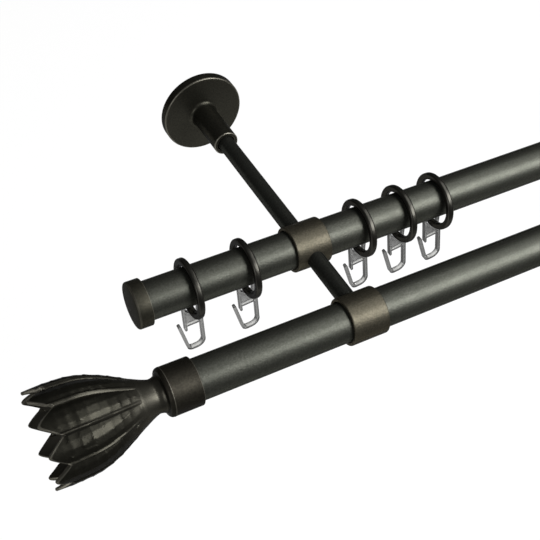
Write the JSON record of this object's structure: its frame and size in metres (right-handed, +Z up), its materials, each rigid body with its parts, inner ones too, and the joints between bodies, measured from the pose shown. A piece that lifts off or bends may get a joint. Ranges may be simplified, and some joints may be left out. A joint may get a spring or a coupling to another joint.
{
  "type": "double curtain pole",
  "caption": "Double curtain pole in satin black: two parallel tubes on wall brackets, petalled flower finials, sliding rings with clear clip hooks.",
  "frame": {"origin": "middle of the left bracket's rose, on the wall", "axes": "+X along the poles to the right as seen from the room, +Y out of the room into the wall, +Z up"},
  "size_m": [1.3194, 0.2035, 0.0709],
  "materials": {
    "satin_black_tube": "satin black lacquer on steel tube",
    "satin_black_casting": "satin black lacquer on zinc casting",
    "black_oxide_screws": "black oxide",
    "zinc_wall_plate": "zinc plated",
    "warm_black_collars": "satin black lacquer",
    "satin_black_rose": "satin black lacquer",
    "satin_black_arms": "satin black lacquer",
    "satin_black_rings": "satin black lacquer",
    "clear_plastic": "clear moulded plastic"
  },
  "bodies": {
    "set": {"back_pole": "satin_black_tube", "front_pole": "satin_black_tube", "left_end_cap": "warm_black_collars", "right_end_cap": "warm_black_collars", "left_flower_finial": "satin_black_casting", "right_flower_finial": "satin_black_casting", "left_finial_grub_screw": "black_oxide_screws", "right_finial_grub_screw": "black_oxide_screws", "left_wall_plate": "zinc_wall_plate", "left_rose": "satin_black_rose", "left_long_arm": "satin_black_arms", "left_back_collar": "warm_black_collars", "left_short_arm": "satin_black_arms", "left_front_collar": "warm_black_collars", "left_bracket_grub_screws": "black_oxide_screws", "right_wall_plate": "zinc_wall_plate", "right_rose": "satin_black_rose", "right_long_arm": "satin_black_arms", "right_back_collar": "warm_black_collars", "right_short_arm": "satin_black_arms", "right_front_collar": "warm_black_collars", "right_bracket_grub_screws": "black_oxide_screws"},
    "ring_1": {"ring_1": "satin_black_rings"},
    "hook_1": {"hook_1": "clear_plastic"},
    "ring_2": {"ring_2": "satin_black_rings"},
    "hook_2": {"hook_2": "clear_plastic"},
    "ring_3": {"ring_3": "satin_black_rings"},
    "hook_3": {"hook_3": "clear_plastic"},
    "ring_4": {"ring_4": "satin_black_rings"},
    "hook_4": {"hook_4": "clear_plastic"},
    "ring_5": {"ring_5": "satin_black_rings"},
    "hook_5": {"hook_5": "clear_plastic"}
  },
  "joints": [
    {"name": "ring_1_slide", "type": "slide", "parent": "set", "child": "ring_1", "axis": [1, 0, 0], "range_m": [-0.0214, 0.0071]},
    {"name": "hook_1_swing", "type": "hinge", "parent": "ring_1", "child": "hook_1", "pos_m": [-0.0646, -0.1266, -0.01625], "axis": [0, 1, 0], "range_deg": [-11, 20]},
    {"name": "ring_2_slide", "type": "slide", "parent": "set", "child": "ring_2", "axis": [1, 0, 0], "range_m": [-0.0073, 0.0218]},
    {"name": "hook_2_swing", "type": "hinge", "parent": "ring_2", "child": "hook_2", "pos_m": [-0.0337, -0.1266, -0.01625], "axis": [0, 1, 0], "range_deg": [-11, 20]},
    {"name": "ring_3_slide", "type": "slide", "parent": "set", "child": "ring_3", "axis": [1, 0, 0], "range_m": [-0.0206, 0.003]},
    {"name": "hook_3_swing", "type": "hinge", "parent": "ring_3", "child": "hook_3", "pos_m": [0.0325, -0.1266, -0.01625], "axis": [0, 1, 0], "range_deg": [-11, 20]},
    {"name": "ring_4_slide", "type": "slide", "parent": "set", "child": "ring_4", "axis": [1, 0, 0], "range_m": [-0.005, 0.0025]},
    {"name": "hook_4_swing", "type": "hinge", "parent": "ring_4", "child": "hook_4", "pos_m": [0.0571, -0.1266, -0.01625], "axis": [0, 1, 0], "range_deg": [-11, 20]},
    {"name": "ring_5_slide", "type": "slide", "parent": "set", "child": "ring_5", "axis": [1, 0, 0], "range_m": [-0.0037, 0.9082]},
    {"name": "hook_5_swing", "type": "hinge", "parent": "ring_5", "child": "hook_5", "pos_m": [0.0799, -0.1266, -0.01625], "axis": [0, 1, 0], "range_deg": [-11, 20]}
  ]
}
